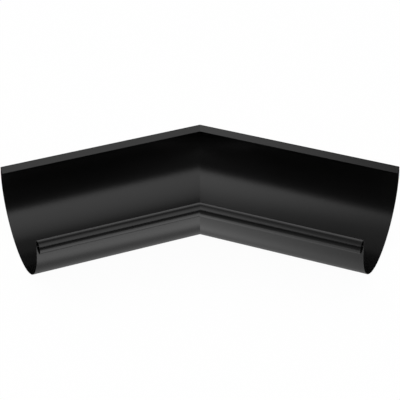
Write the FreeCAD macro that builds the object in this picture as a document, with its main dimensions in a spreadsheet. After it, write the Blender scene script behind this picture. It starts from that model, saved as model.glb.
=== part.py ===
import FreeCAD, Part
import math
import os
import Sketcher
from FreeCAD import Vector

# Internal gutter angle, 150 mm half-round, folded from one coated sheet and mitred at 135 degrees.
#
# Frame: millimetres, +X across the angle to the right, +Y towards the fascia behind it, +Z up.
# The mitre lies in the plane X = 0, the belly rests on Z = 0, and the box is centred in X and Y.
# The sheet's section is drawn with the gutter's centre at (0, 0): x towards the fascia, y up.

DIMENSIONS = [
    ("outer_radius", 75.0, "outside radius of the half-round trough"),
    ("sheet_gauge", 0.6, "thickness of the coated sheet"),
    ("corner_angle", 135.0, "degrees between the two arms, seen from above"),
    ("arm_length", 232.0, "length of each arm along its belly, from the mitre to the cut end"),
    ("rear_rise", 16.5, "degrees that the rear wall follows the circle above the centre line"),
    ("hem_bend_radius", 0.4, "inside radius of the fold along the rear edge"),
    ("hem_lean", 38.0, "degrees that the folded strip leans into the trough"),
    ("hem_strip", 7.6, "width of the folded strip below its bend"),
    ("bead_diameter", 16.5, "outside diameter of the rolled front bead"),
    ("bead_rise", 5.0, "height of the bead's centre above the gutter's centre line"),
    ("bead_gap", 0.5, "gap between the bead's free edge and the front wall"),
]

os.makedirs("parts", exist_ok=True)
doc = FreeCAD.newDocument("internal_gutter_angle")

sheet = doc.addObject("Spreadsheet::Sheet", "sizes")
for row, (alias, value, note) in enumerate(DIMENSIONS, start=1):
    sheet.set(f"A{row}", note)
    sheet.set(f"B{row}", str(value))
    sheet.setAlias(f"B{row}", alias)
doc.recompute()


def size(alias):
    """Value of one named size, in millimetres or degrees."""
    return float(sheet.get(alias))


def polar(centre, radius, degrees):
    """Point on a circle of the section."""
    turn = math.radians(degrees)
    return centre + Vector(radius * math.cos(turn), radius * math.sin(turn), 0)


def arc(centre, radius, first, last):
    """Arc of the section, counter-clockwise from first to last, in degrees."""
    circle = Part.Circle(centre, Vector(0, 0, 1), radius)
    return Part.ArcOfCircle(circle, math.radians(first), math.radians(last))


def origin_plane(body, role):
    """One of the body's own origin planes, found by its role."""
    return next(feature for feature in body.Origin.OriginFeatures if feature.Role == role)


START, END, CENTRE = 1, 2, 3
ORIGIN = -1


def draw_section(sketch):
    """The sheet's closed outline: rear strip, fold, half-round wall, front wall and rolled bead.

    Each stretch is drawn twice, as the sheet's face away from the water and its face to the water.
    The starting geometry comes from the sizes, and the constraints then hold it to the sheet.
    """
    radius = size("outer_radius")
    gauge = size("sheet_gauge")
    rise = size("rear_rise")
    fold = size("hem_bend_radius")
    strip_end = 180 - size("hem_lean")
    bead = size("bead_diameter") / 2
    centre = Vector(0, 0, 0)
    fold_centre = polar(centre, radius - gauge - fold, rise)
    bead_centre = Vector(gauge - radius - bead, size("bead_rise"), 0)
    edge_turn = math.degrees(math.acos(1 - (gauge + size("bead_gap")) / bead))
    down_strip = Vector(math.cos(math.radians(strip_end + 90)), math.sin(math.radians(strip_end + 90)), 0)

    strip_top_out = polar(fold_centre, fold + gauge, strip_end)
    strip_top_in = polar(fold_centre, fold, strip_end)
    strip_low_out = strip_top_out + down_strip * size("hem_strip")
    strip_low_in = strip_top_in + down_strip * size("hem_strip")
    bead_edge_in = polar(bead_centre, bead - gauge, 360 - edge_turn)
    bead_edge_out = polar(bead_centre, bead, 360 - edge_turn)

    parts = {
        "strip_out": Part.LineSegment(strip_low_out, strip_top_out),
        "fold_out": arc(fold_centre, fold + gauge, rise, strip_end),
        "wall_out": arc(centre, radius, 180, 360 + rise),
        "front_out": Part.LineSegment(Vector(-radius, 0, 0), Vector(-radius, bead_centre.y, 0)),
        "bead_in": arc(bead_centre, bead - gauge, 0, 360 - edge_turn),
        "bead_edge": Part.LineSegment(bead_edge_in, bead_edge_out),
        "bead_out": arc(bead_centre, bead, 0, 360 - edge_turn),
        "front_in": Part.LineSegment(Vector(gauge - radius, 0, 0), Vector(gauge - radius, bead_centre.y, 0)),
        "wall_in": arc(centre, radius - gauge, 180, 360 + rise),
        "fold_in": arc(fold_centre, fold, rise, strip_end),
        "strip_in": Part.LineSegment(strip_low_in, strip_top_in),
        "strip_edge": Part.LineSegment(strip_low_out, strip_low_in),
    }
    at = {name: sketch.addGeometry(piece, False) for name, piece in parts.items()}
    at["rise_line"] = sketch.addGeometry(Part.LineSegment(centre, polar(centre, radius, rise)), True)
    at["bead_line"] = sketch.addGeometry(Part.LineSegment(bead_centre, bead_edge_in), True)

    def hold(kind, *where):
        """Geometric constraint; a name in where stands for that stretch of the outline."""
        places = [at[item] if isinstance(item, str) else item for item in where]
        return sketch.addConstraint(Sketcher.Constraint(kind, *places))

    hold("Coincident", "wall_out", CENTRE, ORIGIN, START)
    hold("Coincident", "wall_in", CENTRE, ORIGIN, START)
    hold("Coincident", "fold_in", CENTRE, "fold_out", CENTRE)
    hold("Coincident", "bead_in", CENTRE, "bead_out", CENTRE)
    for face in ("out", "in"):
        hold("Tangent", "strip_" + face, END, "fold_" + face, END)
        hold("Tangent", "fold_" + face, START, "wall_" + face, END)
        hold("Tangent", "wall_" + face, START, "front_" + face, START)
        hold("Vertical", "front_" + face)
    hold("Tangent", "front_out", END, "bead_in", START)
    hold("Tangent", "front_in", END, "bead_out", START)
    hold("Coincident", "bead_edge", START, "bead_in", END)
    hold("Coincident", "bead_edge", END, "bead_out", END)
    hold("Coincident", "strip_edge", START, "strip_out", START)
    hold("Coincident", "strip_edge", END, "strip_in", START)
    hold("Perpendicular", "strip_edge", "strip_out")
    hold("Parallel", "strip_in", "strip_out")
    hold("Coincident", "rise_line", START, ORIGIN, START)
    hold("Coincident", "rise_line", END, "wall_out", END)
    hold("Coincident", "bead_line", START, "bead_in", CENTRE)
    hold("Coincident", "bead_line", END, "bead_in", END)
    hold("Parallel", "bead_line", "bead_edge")

    def measure(name, value, formula, kind, *where):
        """Dimension of the section, bound to the sheet."""
        constraint = hold(kind, *where, value)
        sketch.renameConstraint(constraint, name)
        sketch.setExpression(f"Constraints.{name}", formula)

    measure("outside_radius", radius, "sizes.outer_radius", "Radius", "wall_out")
    measure("inside_radius", radius - gauge, "sizes.outer_radius - sizes.sheet_gauge", "Radius", "wall_in")
    measure("rear_rise", math.radians(rise), "sizes.rear_rise * 1 deg", "Angle", "rise_line")
    measure("fold_radius", fold, "sizes.hem_bend_radius", "Radius", "fold_in")
    measure("strip_lean", math.radians(strip_end - 90), "90 deg - sizes.hem_lean * 1 deg", "Angle", "strip_out")
    measure("strip_width", size("hem_strip"), "sizes.hem_strip", "Distance", "strip_out")
    measure("bead_radius", bead, "sizes.bead_diameter / 2", "Radius", "bead_out")
    measure("bead_rise", bead_centre.y, "sizes.bead_rise", "DistanceY", ORIGIN, START, "bead_out", CENTRE)
    measure("bead_gap", size("bead_gap"), "sizes.bead_gap", "DistanceX", "bead_edge", END, "front_out", END)


# The whole angle is one body: a square-cut arm padded to the mitre plane, and its mirror image.
body = doc.addObject("PartDesign::Body", "gutter_angle")
body.Label = "gutter_angle"
mitre_plane = origin_plane(body, "YZ_Plane")
TURN = "(90 deg - sizes.corner_angle / 2 * 1 deg)"

section = body.newObject("Sketcher::SketchObject", "section")
section.AttachmentSupport = (mitre_plane, [""])
section.MapMode = "FlatFace"
section.AttachmentOffset = FreeCAD.Placement(Vector(0, 0, 0), FreeCAD.Rotation(Vector(0, 1, 0), -1))
section.setExpression("AttachmentOffset.Rotation.Angle", "-" + TURN)
section.setExpression("AttachmentOffset.Base.x", f"-sizes.arm_length * sin({TURN})")
section.setExpression("AttachmentOffset.Base.z", f"sizes.arm_length * cos({TURN})")
draw_section(section)
doc.recompute()

arm = body.newObject("PartDesign::Pad", "arm")
arm.Profile = section
arm.Reversed = True
arm.Type = "UpToFace"
arm.UpToFace = (mitre_plane, [""])
doc.recompute()

second_arm = body.newObject("PartDesign::Mirrored", "second_arm")
second_arm.Originals = [arm]
second_arm.MirrorPlane = (mitre_plane, [""])
second_arm.Refine = True
body.Tip = second_arm

REAR_REACH = f"sizes.outer_radius / cos({TURN})"
BEAD_REACH = "(sizes.outer_radius - sizes.sheet_gauge + sizes.bead_diameter)"
FRONT_REACH = f"(sizes.arm_length * sin({TURN}) + {BEAD_REACH} * cos({TURN}))"
body.setExpression("Placement.Base.y", f"({FRONT_REACH} - {REAR_REACH}) / 2")
body.setExpression("Placement.Base.z", "sizes.outer_radius")
doc.recompute()

for item in doc.Objects:
    if "Invalid" in item.State or "Error" in item.State:
        raise SystemExit(f"{item.Name} failed: {item.State}")
if section.solve() != 0 or not section.FullyConstrained:
    raise SystemExit("the section is not fully constrained")
shape = body.Shape
if shape.isNull() or not shape.isValid() or len(shape.Solids) != 1:
    raise SystemExit("gutter_angle is not one valid solid")
shape.exportStep(os.path.join("parts", body.Label + ".step"))
print(body.Label, "volume", round(shape.Volume), "box", shape.BoundBox)
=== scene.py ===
import math

import bpy
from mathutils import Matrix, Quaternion, Vector


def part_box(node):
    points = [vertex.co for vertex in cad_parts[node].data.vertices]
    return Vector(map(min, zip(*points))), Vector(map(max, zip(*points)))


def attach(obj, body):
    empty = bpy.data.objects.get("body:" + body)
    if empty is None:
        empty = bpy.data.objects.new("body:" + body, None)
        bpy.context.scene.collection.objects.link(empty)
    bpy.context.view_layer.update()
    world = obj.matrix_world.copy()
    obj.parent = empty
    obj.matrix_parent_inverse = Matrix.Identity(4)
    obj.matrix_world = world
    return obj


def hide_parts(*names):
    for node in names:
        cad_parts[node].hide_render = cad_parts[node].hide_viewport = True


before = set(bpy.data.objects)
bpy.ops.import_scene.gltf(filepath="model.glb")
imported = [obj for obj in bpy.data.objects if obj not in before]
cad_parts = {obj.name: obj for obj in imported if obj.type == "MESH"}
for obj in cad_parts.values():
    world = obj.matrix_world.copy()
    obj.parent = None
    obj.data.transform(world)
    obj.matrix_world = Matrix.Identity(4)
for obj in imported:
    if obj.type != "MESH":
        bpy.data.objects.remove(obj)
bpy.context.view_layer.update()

# The gutter angle itself is one sheet of steel, 0.6 mm thick with its coating. It is formed into a
# half-round trough with a rolled bead along the front and a narrow strip folded down along the rear,
# and two such arms meet in a sharp mitre, 135 degrees apart, and are cut off square at their far ends.
SHEET = 0.0006
OUTER_RADIUS = 0.075
REAR_RISE = math.radians(16.5)
FOLD_RADIUS = 0.0004 + SHEET / 2
STRIP_LEAN = math.radians(38)
STRIP_WIDTH = 0.0076
BEAD_RADIUS = 0.00825 - SHEET / 2
BEAD_RISE = 0.005
BEAD_GAP = 0.0005
MITRE_TURN = math.radians(90 - 135 / 2)
CUT_CHAMFER = 0.00008
FOLD_FACET, WALL_FACET, BEAD_FACET = 9, 2, 3
SHARP_EDGE = math.radians(30)
BAYS = 12

far_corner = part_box("gutter_angle")[1]
CORNER_Y = far_corner.y - OUTER_RADIUS / math.cos(MITRE_TURN)
ARM_LENGTH = (far_corner.x - OUTER_RADIUS * math.sin(MITRE_TURN)) / math.cos(MITRE_TURN)


def turned(angle):
    """Unit vector of the section: x towards the fascia behind the gutter, y up."""
    return Vector((math.cos(angle), math.sin(angle)))


def arc_points(centre, radius, first, last, facet):
    """Points of an arc at facets of so many degrees, each with the direction away from the arc's centre."""
    count = math.ceil(abs(last - first) / math.radians(facet))
    angles = [first + (last - first) * i / count for i in range(count + 1)]
    return [(centre + turned(angle) * radius, turned(angle)) for angle in angles]


def sheet_line():
    """Middle line of the sheet from the strip's cut edge to the bead's, with the side that faces out."""
    middle_radius = OUTER_RADIUS - SHEET / 2
    fold_centre = turned(REAR_RISE) * (middle_radius - FOLD_RADIUS)
    strip_side = turned(math.pi - STRIP_LEAN)
    strip_top = fold_centre + strip_side * FOLD_RADIUS
    strip_foot = strip_top + turned(math.pi * 1.5 - STRIP_LEAN) * STRIP_WIDTH
    bead_centre = Vector((-middle_radius - BEAD_RADIUS, BEAD_RISE))
    bead_free = math.acos(1 - (SHEET + BEAD_GAP) / (BEAD_RADIUS + SHEET / 2))

    line = [(strip_foot, strip_side), (strip_foot.lerp(strip_top, 0.5), strip_side)]
    line += arc_points(fold_centre, FOLD_RADIUS, math.pi - STRIP_LEAN, REAR_RISE, FOLD_FACET)
    line += arc_points(Vector((0, 0)), middle_radius, REAR_RISE, -math.pi, WALL_FACET)[1:]
    roll = arc_points(bead_centre, BEAD_RADIUS, 0, 2 * math.pi - bead_free, BEAD_FACET)
    line += [(place, -side) for place, side in roll]
    return line


def with_chamfers(line):
    """The line's places with half the sheet's thickness, thinned at both cut edges."""
    full = [(place, side, SHEET / 2) for place, side in line]
    edges = []
    for end, beside in ((0, 1), (-1, -2)):
        place, side, half = full[end]
        inwards = (full[beside][0] - place).normalized() * CUT_CHAMFER
        edges.append(((place, side, half - CUT_CHAMFER), (place + inwards, side, half)))
    return [*edges[0], *full[1:-1], *reversed(edges[1])]


def section_loop(thinned):
    """Closed outline of the section: out along one face of the sheet and back along the other."""
    section = with_chamfers(sheet_line())
    away_face = [place + side * (half - thinned) for place, side, half in section]
    water_face = [place - side * (half - thinned) for place, side, half in section]
    return away_face + water_face[::-1]


def on_arm(side, share, place):
    """A place of the section set on an arm, at a share of its way from the mitre to the cut end."""
    at_mitre = -place.x * math.tan(MITRE_TURN)
    reach = at_mitre + (ARM_LENGTH - at_mitre) * share
    return (
        side * (reach * math.cos(MITRE_TURN) + place.x * math.sin(MITRE_TURN)),
        CORNER_Y - reach * math.sin(MITRE_TURN) + place.x * math.cos(MITRE_TURN),
        OUTER_RADIUS + place.y,
    )


def gutter_mesh(name):
    """Both arms as loops of the section, which share the loop at the mitre, closed at the cut ends."""
    full, slim = section_loop(0), section_loop(CUT_CHAMFER)
    last_full = 1 - CUT_CHAMFER / ARM_LENGTH
    along_arm = [(last_full * i / BAYS, full) for i in range(1, BAYS + 1)] + [(1, slim)]
    around = len(full)
    points = [on_arm(1, 0, place) for place in full]
    faces = []
    for side in (-1, 1):
        first = len(points) // around
        loops = [0, *range(first, first + len(along_arm))]
        points += [on_arm(side, share, place) for share, loop in along_arm for place in loop]
        arm_faces = [
            [near * around + spot, far * around + spot, far * around + beside, near * around + beside]
            for near, far in zip(loops, loops[1:])
            for spot, beside in enumerate([*range(1, around), 0])
        ]
        tip = loops[-1] * around
        arm_faces += [
            [tip + spot, tip + around - 1 - spot, tip + around - 2 - spot, tip + spot + 1]
            for spot in range(around // 2 - 1)
        ]
        faces += [face[::-side] for face in arm_faces]

    mesh = bpy.data.meshes.new(name)
    mesh.from_pydata(points, [], faces)
    mesh.validate()
    mesh.polygons.foreach_set("use_smooth", [True] * len(mesh.polygons))
    mesh.set_sharp_from_angle(angle=SHARP_EDGE)
    for edge in mesh.edges:
        if max(edge.vertices) < around:
            edge.use_edge_sharp = True
    return mesh


class Socket:
    """An output in a node tree, which takes part in sums as a number would, or the tree alone."""

    def __init__(self, tree, output=None):
        self.tree = tree
        self.output = output

    def node(self, kind, settings=None, values=None, output=0):
        """Any node of the same tree: its settings first, then the values or links of its sockets."""
        made = self.tree.nodes.new(kind)
        for name, value in (settings or {}).items():
            setattr(made, name, value)
        for name, value in (values or {}).items():
            if isinstance(value, Socket):
                self.tree.links.new(value.output, made.inputs[name])
            else:
                made.inputs[name].default_value = value
        return Socket(self.tree, made.outputs[output]) if made.outputs else None

    def maths(self, operation, *values):
        """The result of a Math node on the values, in their order."""
        return self.node("ShaderNodeMath", {"operation": operation}, dict(enumerate(values)))

    def __add__(self, other):
        return self.maths("ADD", self, other)

    def __radd__(self, other):
        return self.maths("ADD", other, self)

    def __sub__(self, other):
        return self.maths("SUBTRACT", self, other)

    def __rsub__(self, other):
        return self.maths("SUBTRACT", other, self)

    def __mul__(self, other):
        return self.maths("MULTIPLY", self, other)

    def __rmul__(self, other):
        return self.maths("MULTIPLY", other, self)

    def __truediv__(self, other):
        return self.maths("DIVIDE", self, other)

    def __abs__(self):
        return self.maths("ABSOLUTE", self)


DEEP_BLACK, SOFT_BLACK = (0.0012, 0.0012, 0.0012, 1), (0.0022, 0.0022, 0.0022, 1)
LEAST_ROUGHNESS, CLOUD_ROUGHNESS, SPECK_ROUGHNESS = 0.215, 0.04, 0.03
PEEL_SHARE, SPECK_SHARE = 0.7, 0.3
PEEL_STRENGTH, PEEL_HEIGHT = 0.12, 0.0002


def coated_steel():
    """Black baked coating on steel: nearly black, half gloss, with the slight peel of sprayed paint."""
    material = bpy.data.materials.new("coated_steel")
    material.use_nodes = True
    material.node_tree.nodes.clear()
    tree = Socket(material.node_tree)
    place = tree.node("ShaderNodeTexCoord", output="Object")
    cloud = tree.node("ShaderNodeTexNoise", {}, {"Vector": place, "Scale": 14.0, "Detail": 3.0})
    speck = tree.node("ShaderNodeTexNoise", {}, {"Vector": place, "Scale": 900.0, "Detail": 2.0})
    peel = tree.node("ShaderNodeTexNoise", {}, {"Vector": place, "Scale": 420.0, "Detail": 1.0})
    bump = tree.node("ShaderNodeBump", {}, {
        "Height": peel * PEEL_SHARE + speck * SPECK_SHARE,
        "Strength": PEEL_STRENGTH,
        "Distance": PEEL_HEIGHT,
    })
    colour = tree.node(
        "ShaderNodeMix", {"data_type": "RGBA"}, {"Factor": cloud, "A": DEEP_BLACK, "B": SOFT_BLACK}, output=2,
    )
    paint = tree.node("ShaderNodeBsdfPrincipled", {}, {
        "Base Color": colour,
        "Roughness": LEAST_ROUGHNESS + cloud * CLOUD_ROUGHNESS + speck * SPECK_ROUGHNESS,
        "IOR": 1.5,
        "Normal": bump,
    })
    tree.node("ShaderNodeOutputMaterial", {}, {"Surface": paint})
    return material


gutter = bpy.data.objects.new("gutter_angle_sheet", gutter_mesh("gutter_angle_sheet"))
bpy.context.scene.collection.objects.link(gutter)
gutter.data.materials.append(coated_steel())
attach(gutter, "root")
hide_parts("gutter_angle")

# The camera stands where the photograph was taken from: square to the mitre, looking down at 34 degrees,
# with the whole angle from cut end to cut end across the picture, and held a trace off level.
CAMERA_PLACE = Vector((0, -1.2990, 0.9392))
CAMERA_AIM = Vector((0, -0.01655, 0.075))
CAMERA_ROLL = math.radians(-0.075)
LENS = 116.4

camera_data = bpy.data.cameras.new("camera")
camera_data.lens = LENS
camera_data.sensor_width = 36
camera = bpy.data.objects.new("camera", camera_data)
camera.location = CAMERA_PLACE
level_view = (CAMERA_AIM - CAMERA_PLACE).to_track_quat("-Z", "Y")
camera.rotation_euler = (level_view @ Quaternion((0, 0, 1), CAMERA_ROLL)).to_euler()
bpy.context.scene.collection.objects.link(camera)
bpy.context.scene.camera = camera

# The studio floor is white paper, wide enough to fill every view. It is lit as paper is and keeps the
# angle's faint shadow. The coating does not mirror it, but the studio's ground, which is set further on.
FLOOR_HALF = 6.0
SHOWN_WHITE = 0.97
PAPER = 0.9

floor_mesh = bpy.data.meshes.new("floor")
floor_mesh.from_pydata(
    [(x * FLOOR_HALF, y * FLOOR_HALF, 0) for x, y in ((-1, -1), (1, -1), (1, 1), (-1, 1))],
    [], [(0, 1, 2, 3)],
)
floor = bpy.data.objects.new("floor", floor_mesh)
floor.visible_glossy = False
bpy.context.scene.collection.objects.link(floor)


def floor_material():
    """Lit paper that the camera sees as plain white with a faint shadow."""
    material = bpy.data.materials.new("floor")
    material.use_nodes = True
    material.cycles.emission_sampling = "NONE"
    material.node_tree.nodes.clear()
    tree = Socket(material.node_tree)
    seen = tree.node("ShaderNodeLightPath", output="Is Camera Ray")
    passed = tree.node("ShaderNodeLightPath", output="Is Transmission Ray")
    paper = tree.node("ShaderNodeBsdfDiffuse", {}, {"Color": (PAPER, PAPER, PAPER, 1)})
    white = tree.node("ShaderNodeEmission", {}, {"Strength": 1.0})
    mixed = tree.node("ShaderNodeMixShader", {}, {0: (seen + passed) * SHOWN_WHITE, 1: paper, 2: white})
    tree.node("ShaderNodeOutputMaterial", {}, {"Surface": mixed})
    return material


floor.data.materials.append(floor_material())

# The studio itself is white all round for the camera and lights everything evenly. The coating mirrors it
# as a dark room with a pale backdrop behind and a dim ceiling and ground, darker at the rear corners, with
# two bright cards lying low in front. A level of 1 is white, and heights are degrees above the horizon.
ROOM_LEVEL = 0.7
FRONT_LEVEL, BACKDROP_LEVEL = 0.0, 0.84
BACKDROP_FROM, BACKDROP_TO = -0.82, 0.82
CEILING_LEVEL = 0.22
CEILING_FROM, CEILING_TO = 52.0, 53.6
GROUND_LEVEL, CORNER_LEVEL = 0.304, 0.02
GROUND_FROM, GROUND_TO = 30.0, -24.0
ASIDE_FROM, ASIDE_TO = 0.36, 0.52
BEHIND_FROM, BEHIND_TO = 0.15, 0.45
LEAST_DROP = 0.02
RIGHT_CARD_LEVEL, LEFT_CARD_LEVEL = 1.49, 2.06
RIGHT_CARD = {"middle": (1.21, -1.00), "half_length": 1.25, "half_width": 0.73, "turn": -42.3, "edge": 0.20}
LEFT_CARD = {"middle": (-0.64, -0.44), "half_length": 0.77, "half_width": 0.09, "turn": 67.9, "edge": 0.23}


def ramp(value, first, last):
    """Smooth step of a value from 0 at first to 1 at last."""
    return value.node(
        "ShaderNodeMapRange", {"interpolation_type": "SMOOTHSTEP"},
        {"Value": value, "From Min": first, "From Max": last},
    )


def blend(share, start, end):
    """From start at a share of 0 to end at a share of 1."""
    return start + share * (end - start)


def height(degrees):
    """How far up a direction points, out of 1, at so many degrees above the horizon."""
    return math.sin(math.radians(degrees))


def card(across, along, middle, half_length, half_width, turn, edge):
    """Share of a soft-edged card on a ground that lies one unit below; its place and sizes are in units."""
    x, y = across - middle[0], along - middle[1]
    cosine, sine = math.cos(math.radians(turn)), math.sin(math.radians(turn))
    lengthwise = ramp(abs(x * cosine + y * sine), half_length + edge, half_length - edge)
    crosswise = ramp(abs(y * cosine - x * sine), half_width + edge, half_width - edge)
    return lengthwise * crosswise


world = bpy.data.worlds.new("studio")
bpy.context.scene.world = world
world.use_nodes = True
world.cycles.sampling_method = "NONE"
world.node_tree.nodes.clear()
studio = Socket(world.node_tree)
towards = studio.node("ShaderNodeTexCoord", output="Generated")
right = studio.node("ShaderNodeSeparateXYZ", {}, {0: towards}, output="X")
back = studio.node("ShaderNodeSeparateXYZ", {}, {0: towards}, output="Y")
up = studio.node("ShaderNodeSeparateXYZ", {}, {0: towards}, output="Z")
walls = blend(ramp(back, BACKDROP_FROM, BACKDROP_TO), FRONT_LEVEL, BACKDROP_LEVEL)
upper_room = blend(ramp(up, height(CEILING_FROM), height(CEILING_TO)), walls, CEILING_LEVEL)
rear_corners = ramp(abs(right), ASIDE_FROM, ASIDE_TO) * ramp(back, BEHIND_FROM, BEHIND_TO)
ground = blend(rear_corners, GROUND_LEVEL, CORNER_LEVEL)
room = blend(ramp(up, height(GROUND_FROM), height(GROUND_TO)), upper_room, ground)
down = studio.maths("MAXIMUM", 0 - up, LEAST_DROP)
right_card = card(right / down, back / down, **RIGHT_CARD)
left_card = card(right / down, back / down, **LEFT_CARD)
mirrored_level = blend(left_card, blend(right_card, room, RIGHT_CARD_LEVEL), LEFT_CARD_LEVEL)
seen = studio.node("ShaderNodeLightPath", output="Is Camera Ray")
passed = studio.node("ShaderNodeLightPath", output="Is Transmission Ray")
mirrored = studio.node("ShaderNodeLightPath", output="Is Glossy Ray")
lit = studio.node("ShaderNodeLightPath", output="Is Diffuse Ray")
level = seen + passed + mirrored * mirrored_level + lit * ROOM_LEVEL
shown = studio.node("ShaderNodeBackground", {}, {"Color": (1, 1, 1, 1), "Strength": level})
studio.node("ShaderNodeOutputWorld", {}, {"Surface": shown})

# Two softboxes stand in front, a tall one on the right and a long one on the left, and both fade upwards.
# They light the paper and show in the paint as the soft highlights along the trough.
LAMP_DISTANCE = 5.0


def softbox(name, azimuth, elevation, roll, half_width, half_height, low_level, high_level):
    """Lamp facing the object; azimuth 0 is in front and 90 to the right, half sizes are per unit away."""
    turn, lift = math.radians(azimuth), math.radians(elevation)
    side = Vector((math.sin(turn) * math.cos(lift), -math.cos(turn) * math.cos(lift), math.sin(lift)))
    data = bpy.data.lights.new(name, "AREA")
    data.shape = "RECTANGLE"
    data.size = 2 * half_width * LAMP_DISTANCE
    data.size_y = 2 * half_height * LAMP_DISTANCE
    data.energy = math.pi * data.size * data.size_y
    data.use_nodes = True
    data.node_tree.nodes.clear()
    cloth = Socket(data.node_tree)
    on_cloth = cloth.node("ShaderNodeNewGeometry", output="Parametric")
    way_up = cloth.node("ShaderNodeSeparateXYZ", {}, {0: on_cloth}, output="Y")
    glow = cloth.node("ShaderNodeEmission", {}, {"Strength": blend(way_up, low_level, high_level)})
    cloth.node("ShaderNodeOutputLight", {}, {"Surface": glow})
    lamp = bpy.data.objects.new(name, data)
    lamp.location = side * LAMP_DISTANCE
    tilt = Quaternion((0, 0, 1), math.radians(roll))
    lamp.rotation_euler = (side.to_track_quat("Z", "Y") @ tilt).to_euler()
    lamp.visible_camera = False
    bpy.context.scene.collection.objects.link(lamp)


softbox(
    "right_softbox", azimuth=48.7, elevation=56.1, roll=-28.0,
    half_width=0.314, half_height=0.516, low_level=1.58, high_level=0.29,
)
softbox(
    "left_softbox", azimuth=-74.6, elevation=55.3, roll=-26.9,
    half_width=0.627, half_height=0.222, low_level=2.42, high_level=0.65,
)

bpy.context.scene.view_settings.view_transform = "Standard"
